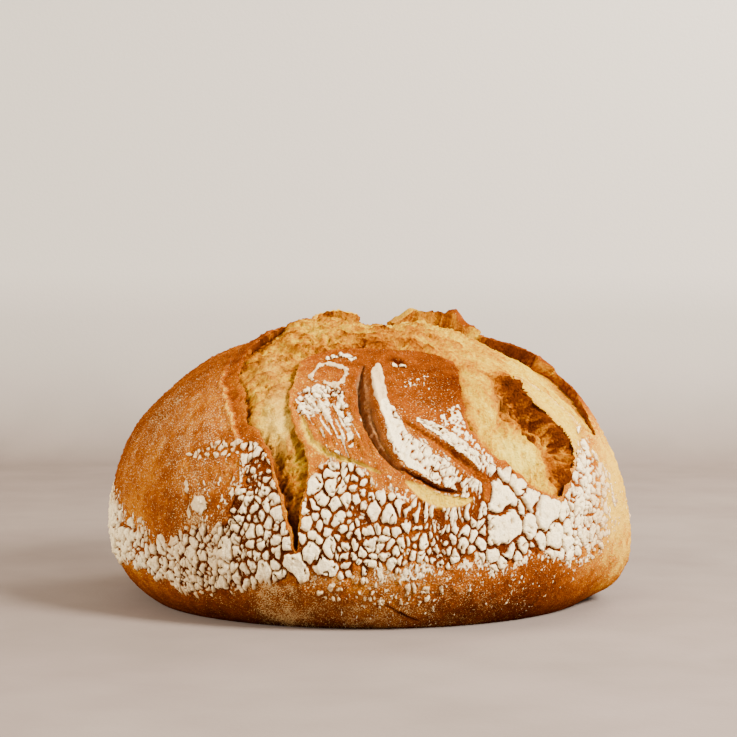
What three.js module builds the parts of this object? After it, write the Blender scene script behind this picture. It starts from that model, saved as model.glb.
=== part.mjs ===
// A round sourdough loaf (a boule), whole and uncut, on its flat baked base.
//
// The crust is a low dome. Its crown was scored before baking and the cuts tore open in the oven:
// one wide tear runs across the crown, one runs down the front left, one opens into a hollow at the
// front right, and two run down the back. Between them the crust stands as plates, whose torn edges
// lift into ears over the crumb.
//
// The dome is described on a flat map. The map point (u, v) lies sqrt(u^2 + v^2) millimetres down
// from the middle of the crown, on the side of the loaf that (u, v) points to. Every cut is an
// outline on that map, and the height of the surface above the plain dome is a function of (u, v).
// Units are millimetres, +Z is up, +X is right and -Y is the front.
import * as THREE from "three";

// Overall form
const WIDTH = 207; // along X
const DEPTH = 202; // along Y
const HEIGHT = 107; // of the dome, without its ears
const WAIST = 38; // height of the widest girth and of the centre that the surface is measured from
const UNDERCUT = 51; // how far below the waist the dome would reach, were it not cut flat
const SHOULDER = 2.15; // squareness of the upper half; an ellipse has 2
const HEEL = 2.9; // squareness of the lower half
const MAP_RADIAN = 85; // millimetres on the map for one radian down from the crown

// Broad swells and hollows of the whole dome: [u, v, reach, height]
const SWELLS = [
  [-84, 4, 30, -3.2],
  [-72, -92, 28, 1.4],
  [-118, -30, 20, -0.8],
  [-108, 44, 26, 1.2],
  [-52, 82, 26, 2.2],
  [-30, 128, 20, -0.9],
  [42, 104, 22, 1.6],
  [96, 62, 22, -1.3],
  [118, 8, 22, 0.9],
  [84, -28, 24, -1.8],
  [104, -84, 20, 0.8],
  [22, -95, 26, 1.0],
  [4, -134, 18, 0.7],
];

// The outline of the tears on the map. The crumb shows inside it.
const FRONT_LEFT_LIP = [
  [-35.5, -135], [-37, -128], [-38, -121], [-40, -113], [-41.5, -105], [-45, -98], [-50, -90],
  [-51.5, -80], [-53.5, -70], [-57, -58], [-56.5, -46], [-53, -34], [-46, -22], [-38, -11],
];
const CROWN_LEFT_EAR = [[-30, -2], [-20, 7], [-9, 11]];
const BACK_MIDDLE_TEAR = [
  [-8, 24], [-12, 40], [-16, 58], [-16, 76], [-11, 94], [-6, 110], [-5, 122], [-1, 110],
  [4, 96], [5, 80], [7, 64], [13, 48], [15, 36], [14, 26],
];
const CROWN_RIGHT_EAR = [[13, 15], [22, 18], [34, 17], [45, 12]];
const BACK_RIGHT_TEAR = [
  [51, 20], [57, 35], [67, 52], [80, 70], [90, 86], [98, 98], [95, 84], [88, 68], [79, 54],
  [73, 38], [64, 22], [55, 10],
];
const SHOULDER_EARS = [
  [55, 3], [63, 1], [71, -5], [77, -11], [81, -9], [87, -14], [92, -24], [96, -34], [100, -44],
];
const RIGHT_RIM = [
  [96, -52], [89, -58], [80, -57], [71, -53], [63, -53], [66, -60], [70, -65], [76, -68],
  [82, -69], [86.5, -72], [88.5, -78], [89, -86], [87, -93],
];
const FRONT_RIGHT_LIP = [
  [80, -97.5], [72, -99.5], [63, -100], [54, -99.5], [47, -98], [42, -95], [38.5, -91],
  [37, -85], [36, -77], [36, -69], [35.5, -61],
];
const CENTRE_LIP = [
  [24, -57.5], [10, -58.5], [-6, -57.5], [-20, -58.5], [-26, -63], [-28.5, -72], [-30, -82],
  [-29.5, -92], [-27, -100], [-24, -107], [-24, -113], [-27.5, -120], [-31.5, -128],
];
const TEARS = [
  ...FRONT_LEFT_LIP, ...CROWN_LEFT_EAR, ...BACK_MIDDLE_TEAR, ...CROWN_RIGHT_EAR,
  ...BACK_RIGHT_TEAR, ...SHOULDER_EARS, ...RIGHT_RIM, ...FRONT_RIGHT_LIP, ...CENTRE_LIP,
];

// The crust rises a little at every torn edge, and more where it lifted into an ear. An ear also
// leans out over the crumb.
const LIP_HEIGHT = 1.1;
const LIP_REACH = 8; // how far back from the edge the crust starts to rise
const LIP_LEAN = 0.8;
const LIP_THICKNESS = 2.4;
const EAR_REACH = 15;
const EAR_LEAN = 0.3; // for each millimetre of an ear's height
const EAR_THICKNESS = 0.4; // for each millimetre of an ear's height, on top of the lip's
// Ears: [u, v, reach along the edge, height]
const EARS = [
  [-46, -22, 12, 3.0],
  [-16, 9, 13, 5.0],
  [29, 17, 11, 5.5],
  [43, 13, 5, 2.5],
  [64, 1, 9, 2.0],
  [90, -20, 11, 2.0],
  [-52, -78, 22, 1.6],
  [80, -67, 14, 3.4],
  [10, 54, 26, 3.0],
  [72, 50, 24, 3.0],
];
// Under a torn edge the crumb drops into a crevice: [u, v, reach, depth]
const CREVICE_DEPTH = 2.2;
const CREVICE_REACH = 4.5; // how fast the crumb climbs back from the edge
const CREVICES = [
  [-42, -110, 16, 5.5],
  [-50, -70, 22, 1.6],
  [62, -2, 16, 4.0],
  [4, 60, 40, 3.0],
  [68, 44, 30, 3.0],
];
// Lobes and hollows of the crumb: [u, v, reach, height]
const LOBES = [
  [-18, -20, 22, 3.0],
  [24, -22, 22, 2.5],
  [46, -75, 9, 4.0],
  [72, -34, 14, 1.5],
  [60, -6, 8, -3.5],
  [84, -26, 9, -2.5],
  [-36, -86, 8, 2.0],
  [62, -93, 9, 1.5],
  [66, -68, 6, -9.0],
  [78, -77, 6.5, -8.5],
];
const RIPPLE_HEIGHT = 0.45; // of the torn crumb's strands
const RIPPLE_ACROSS = 1.8; // millimetres for each radian of a ripple
const RIPPLE_ALONG = 2.8;
const RIPPLE_SLANT = 0.4;

// Slashes that didn't open: points [u, v, half width], the side their floor lies to and their depth
const SLASH_LIP = 1.0;
const SLASHES = [
  {
    path: [
      [-2, -72, 1.5], [-2.5, -80, 4.2], [-1.5, -90, 4.6], [1, -99, 4.4], [6, -108, 3.8],
      [14, -115, 1.4],
    ],
    floor: -0.35,
    depth: 6.5,
  },
  {
    path: [[19, -98, 1.4], [28, -102.5, 2.8], [37, -106, 3.2], [47, -109, 2.6], [55, -109.5, 1.2]],
    floor: 0.2,
    depth: 2.6,
  },
  {
    path: [[13, -118, 0.8], [21, -119.5, 1.8], [30, -120, 1.8], [39, -118.5, 0.8]],
    floor: -0.3,
    depth: 1.2,
  },
];

// How finely the surface is drawn
const EDGE_STEP = 2.7; // between the points along a torn edge
const EDGE_ROWS = [-2.7, 0, 1.6, 3.2]; // rows of points along a torn edge, from the crust inwards
const TUCK = 0.2; // where the underside of a lip meets the crumb, in from the torn edge
const CROWDED = 0.93; // a row's point is left out where another edge lies nearer than this share
const CRUMB_STEP = 3.0;
const CRUST_STEP = 5.5;
const BASE_SIDES = 96;
const HEEL_RING = 0.975; // the first ring of points above the base's edge
const CURVE_STEPS = 8; // straight runs between two points of an outline
const SEED_ANGLE = Math.PI * (3 - Math.sqrt(5)); // spreads points evenly, as seeds on a flower head

const clamp01 = (x) => Math.min(1, Math.max(0, x));
const bell = (u, v, cu, cv, reach) =>
  Math.exp(-((u - cu) ** 2 + (v - cv) ** 2) / (2 * reach * reach));
const sumOfBells = (u, v, bells) =>
  bells.reduce((sum, [cu, cv, reach, height]) => sum + height * bell(u, v, cu, cv, reach), 0);

// A smooth curve through map points, cut into runs of about the same length.
function smoothLine(points, closed, step) {
  const vectors = points.map(([u, v, third = 0]) => new THREE.Vector3(u, v, third));
  const curve = new THREE.CatmullRomCurve3(vectors, closed, "centripetal");
  curve.arcLengthDivisions = points.length * CURVE_STEPS;
  const runs = Math.round(curve.getLength() / step);
  const line = curve.getSpacedPoints(runs);
  return closed ? line.slice(0, -1) : line;
}

const tears = smoothLine(TEARS, true, EDGE_STEP);

// How far (u, v) lies inside the tears; negative on the crust.
function depthInTears(u, v) {
  let nearest = Infinity;
  let inside = false;
  for (let i = 0; i < tears.length; i++) {
    const a = tears[(i + tears.length - 1) % tears.length];
    const b = tears[i];
    const du = b.x - a.x;
    const dv = b.y - a.y;
    const t = clamp01(((u - a.x) * du + (v - a.y) * dv) / (du * du + dv * dv));
    nearest = Math.min(nearest, Math.hypot(a.x + t * du - u, a.y + t * dv - v));
    if (a.y > v !== b.y > v && u < (du * (v - a.y)) / dv + a.x) inside = !inside;
  }
  return inside ? nearest : -nearest;
}

// Height of the crust, at a distance back from the torn edge.
function crustHeight(u, v, back) {
  const lip = LIP_HEIGHT * Math.exp(-back / LIP_REACH);
  return lip + sumOfBells(u, v, EARS) * Math.exp(-back / EAR_REACH);
}

// Height of the torn crumb, at a distance in from the torn edge.
function crumbHeight(u, v, inward) {
  const crevice = CREVICE_DEPTH + sumOfBells(u, v, CREVICES);
  const ripple =
    Math.sin((u + RIPPLE_SLANT * v) / RIPPLE_ACROSS) * Math.sin(v / RIPPLE_ALONG);
  const climb = 1 - Math.exp(-inward / CREVICE_REACH);
  return (sumOfBells(u, v, LOBES) + RIPPLE_HEIGHT * ripple) * climb - crevice * (1 - climb);
}

// Distance from the loaf's centre to the plain dome, phi down from the crown, theta round it.
function domeRadius(phi, theta) {
  const girth = 1 / Math.hypot(Math.cos(theta) / (WIDTH / 2), Math.sin(theta) / (DEPTH / 2));
  const isUpper = Math.cos(phi) > 0;
  const power = isUpper ? SHOULDER : HEEL;
  const across = (Math.sin(phi) / girth) ** power;
  const upright = (Math.abs(Math.cos(phi)) / (isUpper ? HEIGHT - WAIST : UNDERCUT)) ** power;
  return (across + upright) ** (-1 / power);
}

// The point that stands a height above the dome at (u, v). The swells die out towards the base.
function onLoaf(u, v, height) {
  const phi = Math.hypot(u, v) / MAP_RADIAN;
  const theta = Math.atan2(v, u);
  const fade = THREE.MathUtils.smoothstep(Math.cos(phi), -0.25, 0.1);
  const radius = domeRadius(phi, theta) + fade * (height + sumOfBells(u, v, SWELLS));
  const reach = radius * Math.sin(phi);
  return [reach * Math.cos(theta), reach * Math.sin(theta), WAIST + radius * Math.cos(phi)];
}

// Where the heel of the dome meets the base, on the map.
function baseEdge(theta) {
  const girth = 1 / Math.hypot(Math.cos(theta) / (WIDTH / 2), Math.sin(theta) / (DEPTH / 2));
  const reach = girth * (1 - (WAIST / UNDERCUT) ** HEEL) ** (1 / HEEL);
  const radius = MAP_RADIAN * (Math.PI - Math.atan2(reach, WAIST));
  return [radius * Math.cos(theta), radius * Math.sin(theta)];
}

// Each sample is a place on the map, used to join it to its neighbours, and its point in space.
const samples = [];

function addSample(u, v, at) {
  samples.push({ u, v, at });
}

// The sideways direction at a point of a line, as [du, dv].
function sideways(line, i, closed) {
  const last = line.length - 1;
  const before = line[closed ? (i + last) % line.length : Math.max(i - 1, 0)];
  const after = line[closed ? (i + 1) % line.length : Math.min(i + 1, last)];
  const run = Math.hypot(after.x - before.x, after.y - before.y);
  return [-(after.y - before.y) / run, (after.x - before.x) / run];
}

// The torn edge: its tip leans over the crumb, its underside turns back, then the crevice opens.
function addTornEdge() {
  tears.forEach((p, i) => {
    const [su, sv] = sideways(tears, i, true);
    const side = depthInTears(p.x + su, p.y + sv) > 0 ? 1 : -1;
    const ear = sumOfBells(p.x, p.y, EARS);
    const lean = LIP_LEAN + EAR_LEAN * ear;
    const tip = crustHeight(p.x, p.y, 0);
    const floor = crumbHeight(p.x, p.y, 0);
    const underside = Math.max(tip - LIP_THICKNESS - EAR_THICKNESS * ear, floor);
    const shifts = [EDGE_ROWS[0], lean, TUCK, EDGE_ROWS[3]];
    const heights = [crustHeight(p.x, p.y, -EDGE_ROWS[0]), tip, underside, floor];
    EDGE_ROWS.forEach((row, k) => {
      const u = p.x + side * row * su;
      const v = p.y + side * row * sv;
      if (row !== 0 && Math.abs(depthInTears(u, v)) < CROWDED * Math.abs(row)) return;
      const shift = side * shifts[k];
      addSample(u, v, onLoaf(p.x + shift * su, p.y + shift * sv, heights[k]));
    });
  });
}

// A slash: both of its edges and its floor, which lies to one side.
function addSlash({ path, floor, depth }) {
  const line = smoothLine(path, false, EDGE_STEP);
  line.forEach((p, i) => {
    const [su, sv] = sideways(line, i, false);
    const open = Math.sin((Math.PI * (i + 0.5)) / line.length);
    for (const [across, height] of [[-1, SLASH_LIP], [floor, -depth * open], [1, SLASH_LIP]]) {
      const u = p.x + across * p.z * su;
      const v = p.y + across * p.z * sv;
      addSample(u, v, onLoaf(u, v, height + crustHeight(u, v, Math.max(-depthInTears(u, v), 0))));
    }
  });
  return line;
}

// Points spread over the map with an even step, where keep(u, v, depth in the tears) wants them.
function addField(step, keep) {
  const reach = MAP_RADIAN * 2;
  const count = (Math.PI * reach * reach) / (step * step * Math.sin(Math.PI / 3));
  for (let i = 0; i < count; i++) {
    const radius = reach * Math.sqrt((i + 0.5) / count);
    const u = radius * Math.cos(i * SEED_ANGLE);
    const v = radius * Math.sin(i * SEED_ANGLE);
    const depth = depthInTears(u, v);
    if (!keep(u, v, depth)) continue;
    const height = depth > 0 ? crumbHeight(u, v, depth) : crustHeight(u, v, -depth);
    addSample(u, v, onLoaf(u, v, height));
  }
}

// The circle through three samples.
function circled(a, b, c) {
  const bu = samples[b].u - samples[a].u;
  const bv = samples[b].v - samples[a].v;
  const cu = samples[c].u - samples[a].u;
  const cv = samples[c].v - samples[a].v;
  const twice = 2 * (bu * cv - bv * cu);
  const u = (cv * (bu * bu + bv * bv) - bv * (cu * cu + cv * cv)) / twice;
  const v = (bu * (cu * cu + cv * cv) - cu * (bu * bu + bv * bv)) / twice;
  return { a, b, c, u: samples[a].u + u, v: samples[a].v + v, square: u * u + v * v };
}

// Joins the samples into triangles, adding one at a time and redrawing the triangles whose circle
// it falls in, so that no circle is left with a sample inside it.
function joinSamples() {
  const count = samples.length;
  const far = 1000 * MAP_RADIAN;
  samples.push({ u: -far, v: -far }, { u: far, v: -far }, { u: 0, v: far });
  let triangles = [circled(count, count + 1, count + 2)];
  for (let i = 0; i < count; i++) {
    const { u, v } = samples[i];
    const kept = [];
    const border = new Map();
    for (const triangle of triangles) {
      if ((u - triangle.u) ** 2 + (v - triangle.v) ** 2 > triangle.square) {
        kept.push(triangle);
        continue;
      }
      const { a, b, c } = triangle;
      for (const [from, to] of [[a, b], [b, c], [c, a]])
        if (!border.delete(`${to} ${from}`)) border.set(`${from} ${to}`, [from, to]);
    }
    for (const [from, to] of border.values()) kept.push(circled(from, to, i));
    triangles = kept;
  }
  samples.length = count;
  return triangles.filter(({ a, b, c }) => Math.max(a, b, c) < count);
}

function loafGeometry() {
  for (let i = 0; i < BASE_SIDES; i++) {
    const [u, v] = baseEdge((2 * Math.PI * i) / BASE_SIDES);
    const [x, y] = onLoaf(u, v, 0);
    addSample(u, v, [x, y, 0]);
  }
  for (let i = 0; i < BASE_SIDES; i++) {
    const [u, v] = baseEdge((2 * Math.PI * (i + 0.5)) / BASE_SIDES).map((x) => x * HEEL_RING);
    addSample(u, v, onLoaf(u, v, 0));
  }
  addTornEdge();
  const slashes = SLASHES.map(addSlash);
  const isClear = (u, v) =>
    slashes.every((line) =>
      line.every((p) => Math.hypot(p.x - u, p.y - v) > p.z + 0.5 * CRUST_STEP));
  const isAboveBase = (u, v) => {
    const [edgeU, edgeV] = baseEdge(Math.atan2(v, u));
    return Math.hypot(u, v) < HEEL_RING * Math.hypot(edgeU, edgeV) - 0.7 * CRUST_STEP;
  };
  addField(CRUMB_STEP, (u, v, depth) => depth > EDGE_ROWS[3] + 0.6 * CRUMB_STEP);
  addField(CRUST_STEP, (u, v, depth) =>
    depth < EDGE_ROWS[0] - 0.5 * CRUST_STEP && isAboveBase(u, v) && isClear(u, v));
  const faces = joinSamples().flatMap(({ a, b, c }) => [a, b, c]);
  const middle = samples.length;
  addSample(0, 0, [0, 0, 0]);
  for (let i = 0; i < BASE_SIDES; i++) faces.push((i + 1) % BASE_SIDES, i, middle);
  const places = samples.flatMap((sample) => sample.at);
  const geometry = new THREE.BufferGeometry();
  geometry.setAttribute("position", new THREE.Float32BufferAttribute(places, 3));
  geometry.setIndex(faces);
  geometry.computeVertexNormals();
  return geometry;
}

const crust = new THREE.MeshStandardMaterial({ color: 0xc6793a, roughness: 0.6, metalness: 0 });
const loaf = new THREE.Mesh(loafGeometry(), crust);
loaf.name = "loaf";

const group = new THREE.Group();
group.add(loaf);
export default group;
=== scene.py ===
"""Looks of the sourdough loaf: its baked crust, the torn crumb in its scores and the flour on it.

The CAD solid is a dome drawn on a flat map. The map point (u, v) lies sqrt(u^2 + v^2) millimetres
down from the middle of the crown, on the side of the loaf that (u, v) points to. Here the same map
is a fine raster. Every feature is a height field on it: the torn edges, the strands and pores of
the crumb, the slashes, the pimples of the crust and the cracked flour. The raster is wrapped over
the dome, thinned out to a mesh, and split into the crust and the crumb. The flour is two more
meshes: the plates that baked on, and the loose grains around them.

The map and the shapes are in millimetres, and Blender's objects are in metres.
"""
import math

import bpy
import numpy as np
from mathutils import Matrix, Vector


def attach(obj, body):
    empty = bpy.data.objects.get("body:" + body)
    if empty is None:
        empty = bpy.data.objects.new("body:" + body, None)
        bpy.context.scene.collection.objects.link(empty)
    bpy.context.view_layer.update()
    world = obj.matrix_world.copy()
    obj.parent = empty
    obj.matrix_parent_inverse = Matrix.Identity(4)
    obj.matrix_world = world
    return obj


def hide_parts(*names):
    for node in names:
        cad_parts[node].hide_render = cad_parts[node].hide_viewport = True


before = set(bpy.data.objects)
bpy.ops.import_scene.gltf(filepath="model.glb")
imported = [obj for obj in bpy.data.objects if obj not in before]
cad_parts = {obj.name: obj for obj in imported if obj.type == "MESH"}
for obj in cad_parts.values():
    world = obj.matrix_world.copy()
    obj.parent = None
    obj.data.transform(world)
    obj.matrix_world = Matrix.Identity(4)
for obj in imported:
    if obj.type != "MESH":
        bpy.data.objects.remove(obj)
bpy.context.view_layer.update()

MM = 0.001

# ---------- Dimensions shared with the CAD solid ----------
WIDTH = 207.0
DEPTH = 202.0
HEIGHT = 107.0
WAIST = 38.0
UNDERCUT = 51.0
SHOULDER = 2.15
HEEL = 2.9
MAP_RADIAN = 85.0

# Broad swells: u, v, reach, height
SWELLS = [
    (-84, 4, 30, -3.2), (-72, -92, 28, 1.4), (-118, -30, 20, -0.8), (-108, 44, 26, 1.2),
    (-52, 82, 26, 2.2), (-30, 128, 20, -0.9), (42, 104, 22, 1.6), (96, 62, 22, -1.3),
    (118, 8, 22, 0.9), (84, -28, 24, -1.8), (104, -84, 20, 0.8), (22, -95, 26, 1.0),
    (4, -134, 18, 0.7),
]

# The outline of the tears
FRONT_LEFT_LIP = [
    (-35.5, -135), (-37, -128), (-38, -121), (-40, -113), (-41.5, -105), (-45, -98), (-50, -90),
    (-51.5, -80), (-53.5, -70), (-57, -58), (-56.5, -46), (-53, -34), (-46, -22), (-38, -11),
]
CROWN_LEFT_EAR = [(-30, -2), (-20, 7), (-9, 11)]
BACK_MIDDLE_TEAR = [
    (-8, 24), (-12, 40), (-16, 58), (-16, 76), (-11, 94), (-6, 110), (-5, 122), (-1, 110),
    (4, 96), (5, 80), (7, 64), (13, 48), (15, 36), (14, 26),
]
CROWN_RIGHT_EAR = [(13, 15), (22, 18), (34, 17), (45, 12)]
BACK_RIGHT_TEAR = [
    (51, 20), (57, 35), (67, 52), (80, 70), (90, 86), (98, 98), (95, 84), (88, 68), (79, 54),
    (73, 38), (64, 22), (55, 10),
]
SHOULDER_EARS = [
    (55, 3), (63, 1), (71, -5), (77, -11), (81, -9), (87, -14), (92, -24), (96, -34), (100, -44),
]
RIGHT_RIM = [
    (96, -52), (89, -58), (80, -57), (71, -53), (63, -53), (66, -60), (70, -65), (76, -68),
    (82, -69), (86.5, -72), (88.5, -78), (89, -86), (87, -93),
]
FRONT_RIGHT_LIP = [
    (80, -97.5), (72, -99.5), (63, -100), (54, -99.5), (47, -98), (42, -95), (38.5, -91),
    (37, -85), (36, -77), (36, -69), (35.5, -61),
]
CENTRE_LIP = [
    (24, -57.5), (10, -58.5), (-6, -57.5), (-20, -58.5), (-26, -63), (-28.5, -72), (-30, -82),
    (-29.5, -92), (-27, -100), (-24, -107), (-24, -113), (-27.5, -120), (-31.5, -128),
]
TEARS = (
    FRONT_LEFT_LIP + CROWN_LEFT_EAR + BACK_MIDDLE_TEAR + CROWN_RIGHT_EAR + BACK_RIGHT_TEAR
    + SHOULDER_EARS + RIGHT_RIM + FRONT_RIGHT_LIP + CENTRE_LIP
)

# Broad swells that are finer than the solid's: u, v, reach, height
BULGES = [
    (-68, 20, 18, 2.4), (116, 0, 15, -4.2), (154, -36, 12, 3.4), (154, -10, 12, 1.6),
    (-30, -16, 9, 2.2), (-21, 5, 8, 1.6),
]

# Torn edges and crumb: u, v, reach, height or depth
LIP_HEIGHT = 1.1
LIP_REACH = 8.0
LIP_THICKNESS = 2.2
EAR_REACH = 15.0
EARS = [
    (-46, -22, 12, 3.6), (-16, 10, 10, 5.0), (17, 18, 2.6, 4.8), (22, 18, 3.2, 3.6),
    (27.5, 17, 3.2, 3.6), (34, 16, 3.5, 6.0), (40, 14, 2.6, 6.4), (47, 13, 3, 3.0),
    (64, 1, 9, 1.8), (74, -8, 5, 3.0), (90, -20, 11, 2.0), (-52, -78, 22, 1.6),
    (80, -67, 14, 3.4), (10, 54, 26, 3.0), (72, 50, 24, 3.0),
]
CREVICE_DEPTH = 2.2
CREVICE_REACH = 4.5
CREVICES = [
    (-42, -110, 16, 5.5), (-50, -70, 22, 1.6), (62, -2, 16, 4.0), (4, 60, 40, 3.0),
    (68, 44, 30, 3.0),
]
LOBES = [
    (-18, -20, 22, 3.0), (24, -22, 22, 2.5), (46, -75, 9, 4.0), (72, -34, 14, 1.5),
    (60, -6, 8, -3.5), (84, -26, 9, -2.5), (-36, -86, 8, 2.0), (62, -93, 9, 1.5),
    (66, -68, 6, -9.0), (78, -77, 6.5, -8.5), (57, -76, 5.5, -6.0), (67, -79, 4.5, -4.0),
]

# ---------- The map raster ----------
CELL = 0.343
HALF = 512
REACH = HALF * CELL
STEPS = 2 * HALF + 1
AXIS = (np.arange(STEPS) - HALF) * CELL
U, V = np.meshgrid(AXIS, AXIS)
RHO = np.hypot(U, V)
THETA = np.arctan2(V, U)


def smoothstep(low, high, x):
    """A smooth climb from 0 at low to 1 at high."""
    t = np.clip((x - low) / (high - low), 0, 1)
    return t * t * (3 - 2 * t)


def ridge(x, middle, half):
    """A smooth ridge of height 1 along x = middle."""
    return np.exp(-(((x - middle) / half) ** 2))


def bells(spots):
    """The sum of round swells, each (u, v, reach, height)."""
    total = np.zeros(U.shape)
    for cu, cv, reach, height in spots:
        total += height * np.exp(-((U - cu) ** 2 + (V - cv) ** 2) / (2 * reach * reach))
    return total


def patches(spots, most=1.0):
    """Round soft patches, each (u, v, reach, strength), as a share from 0 to the most."""
    return np.clip(bells(spots), 0, most)


def blur(field, size):
    """The field smoothed over about size mm."""
    fv = np.fft.fftfreq(STEPS, CELL)[:, None]
    fu = np.fft.rfftfreq(STEPS, CELL)[None]
    kernel = np.exp(-2 * (math.pi * size / 3) ** 2 * (fu**2 + fv**2))
    return np.fft.irfft2(np.fft.rfft2(field) * kernel, s=(STEPS, STEPS))


def noise(size, seed):
    """Even noise with lumps of about size mm, with mean 0 and spread 1. Each seed gives another."""
    field = blur(np.random.default_rng(seed).standard_normal((STEPS, STEPS)), size)
    return field / field.std()


def cell_at(u, v):
    """The raster's row and column nearest to a map point."""
    row = np.clip(np.rint(np.asarray(v) / CELL).astype(int) + HALF, 0, STEPS - 1)
    column = np.clip(np.rint(np.asarray(u) / CELL).astype(int) + HALF, 0, STEPS - 1)
    return row, column


def window(u, v, reach_u, reach_v):
    """The slice of the raster around a map point."""
    (r0, r1), (c0, c1) = cell_at((u - reach_u, u + reach_u), (v - reach_v, v + reach_v))
    return np.s_[r0 : r1 + 1, c0 : c1 + 1]


def streaks(du, dv, length, size, seed):
    """Noise drawn out along the directions (du, dv), with spread 1."""
    grain = noise(size, seed)
    total = np.zeros(U.shape)
    step = 1.4 * CELL
    count = int(length / step)
    for k in range(-count, count + 1):
        row, column = cell_at(U + k * step * du, V + k * step * dv)
        total += grain[row, column] * math.cos(math.pi * k / (2 * count + 2))
    total -= total.mean()
    return total / total.std()


def between(a, b, start, end, t):
    """The point at t on the straight way from a, at start, to b, at end."""
    return (end - t) / (end - start) * a + (t - start) / (end - start) * b


def smooth_line(points, closed, step):
    """A centripetal Catmull-Rom curve through the points, in even runs of about step mm."""
    p = np.array(points, float)
    if closed:
        p = np.vstack([p[-1], p, p[0], p[1]])
    else:
        p = np.vstack([2 * p[0] - p[1], p, 2 * p[-1] - p[-2]])
    pieces = []
    for p0, p1, p2, p3 in zip(p, p[1:], p[2:], p[3:]):
        t1 = np.linalg.norm(p1 - p0) ** 0.5
        t2 = t1 + np.linalg.norm(p2 - p1) ** 0.5
        t3 = t2 + np.linalg.norm(p3 - p2) ** 0.5
        t = np.linspace(t1, t2, 12, endpoint=False)[:, None]
        a1 = between(p0, p1, 0, t1, t)
        a2 = between(p1, p2, t1, t2, t)
        a3 = between(p2, p3, t2, t3, t)
        b1 = between(a1, a2, 0, t2, t)
        b2 = between(a2, a3, t1, t3, t)
        pieces.append(between(b1, b2, t1, t2, t))
    line = np.vstack(pieces + [p[-2][None]])
    along = np.concatenate([[0], np.cumsum(np.linalg.norm(np.diff(line, axis=0), axis=1))])
    even = np.linspace(0, along[-1], max(2, round(along[-1] / step)) + 1)
    line = np.stack([np.interp(even, along, line[:, k]) for k in range(line.shape[1])], 1)
    return line[:-1] if closed else line


def measure_line(line, closed, reach):
    """For every cell within reach of a line: its distance, the share of the line's length at the
    nearest point, and the side it lies on (1 to the right of the line's run, -1 to the left)."""
    distance = np.full(U.shape, float(reach))
    share = np.zeros(U.shape)
    side = np.ones(U.shape)
    starts = line if closed else line[:-1]
    ends = np.roll(line, -1, 0) if closed else line[1:]
    for i, (a, b) in enumerate(zip(starts[:, :2], ends[:, :2])):
        run = b - a
        middle = (a + b) / 2
        at = window(*middle, abs(run[0]) / 2 + reach, abs(run[1]) / 2 + reach)
        du = U[at] - a[0]
        dv = V[at] - a[1]
        t = np.clip((du * run[0] + dv * run[1]) / (run @ run), 0, 1)
        d = np.hypot(du - t * run[0], dv - t * run[1])
        near = d < distance[at]
        distance[at] = np.where(near, d, distance[at])
        share[at] = np.where(near, (i + t) / len(starts), share[at])
        side[at] = np.where(near, np.sign(run[1] * du - run[0] * dv), side[at])
    return distance, share, side


def inside(line):
    """Whether each cell lies inside a closed line."""
    result = np.zeros(U.shape, bool)
    for a, b in zip(line, np.roll(line, -1, 0)):
        low, high = sorted((a[1], b[1]))
        for row in np.nonzero((AXIS >= low) & (AXIS < high))[0]:
            crossing = a[0] + (AXIS[row] - a[1]) * (b[0] - a[0]) / (b[1] - a[1])
            result[row] ^= AXIS < crossing
    return result


# ---------- The dome ----------
SWELL = bells(SWELLS)


def base_edge(theta):
    """Where the heel meets the base: how far out, and where on the map."""
    girth = 1 / np.hypot(np.cos(theta) / (WIDTH / 2), np.sin(theta) / (DEPTH / 2))
    out = girth * (1 - (WAIST / UNDERCUT) ** HEEL) ** (1 / HEEL)
    return out, MAP_RADIAN * (math.pi - np.arctan2(out, WAIST))


def on_loaf(u, v, height):
    """Points (x, y, z) in mm, standing a height above the dome at (u, v)."""
    rho = np.hypot(u, v)
    phi = rho / MAP_RADIAN
    theta = np.arctan2(v, u)
    girth = 1 / np.hypot(np.cos(theta) / (WIDTH / 2), np.sin(theta) / (DEPTH / 2))
    upper = np.cos(phi) > 0
    power = np.where(upper, SHOULDER, HEEL)
    across = (np.clip(np.sin(phi), 1e-9, None) / girth) ** power
    upright = (np.abs(np.cos(phi)) / np.where(upper, HEIGHT - WAIST, UNDERCUT)) ** power
    fade = smoothstep(-0.25, 0.1, np.cos(phi))
    radius = (across + upright) ** (-1 / power) + fade * SWELL[cell_at(u, v)] + height
    out = radius * np.sin(phi)
    z = WAIST + radius * np.cos(phi)
    edge_out, edge_rho = base_edge(theta)
    out = np.where(rho > edge_rho, edge_out - (rho - edge_rho), out)
    z = np.where(rho > edge_rho, 0, np.maximum(z, 0))
    return np.stack([out * np.cos(theta), out * np.sin(theta), z], -1)


# ---------- Tears: lips, ears and crevices ----------
TEAR_REACH = 24.0
RAGGED = 0.4  # how far the torn edges stray from their outline
MOST_ROOM = 6.0  # a tear wider than twice this doesn't get thicker lips


def tear_depths():
    """How far each cell lies inside the tears, negative outside, and the direction inwards."""
    line = smooth_line(TEARS, True, 1.2)
    distance, _, _ = measure_line(line, True, TEAR_REACH)
    depth = np.where(inside(line), distance, -distance)
    soft = blur(depth, 3.0)
    gv, gu = np.gradient(soft, CELL)
    size = np.hypot(gu, gv) + 1e-6
    depth = depth + RAGGED * noise(4.5, 1) + 0.4 * RAGGED * noise(1.4, 2)
    return depth, gu / size, gv / size


def half_widths(depth):
    """Half the width of the tear around each cell, up to the most room."""
    widest = depth.copy()
    turns = 3
    step = round(MOST_ROOM / CELL / turns)
    for _ in range(turns):
        for axis in (0, 1):
            across = np.maximum(np.roll(widest, step, axis), np.roll(widest, -step, axis))
            widest = np.maximum(widest, across)
    return np.clip(blur(widest, 3.0), 1.0, MOST_ROOM)


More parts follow.
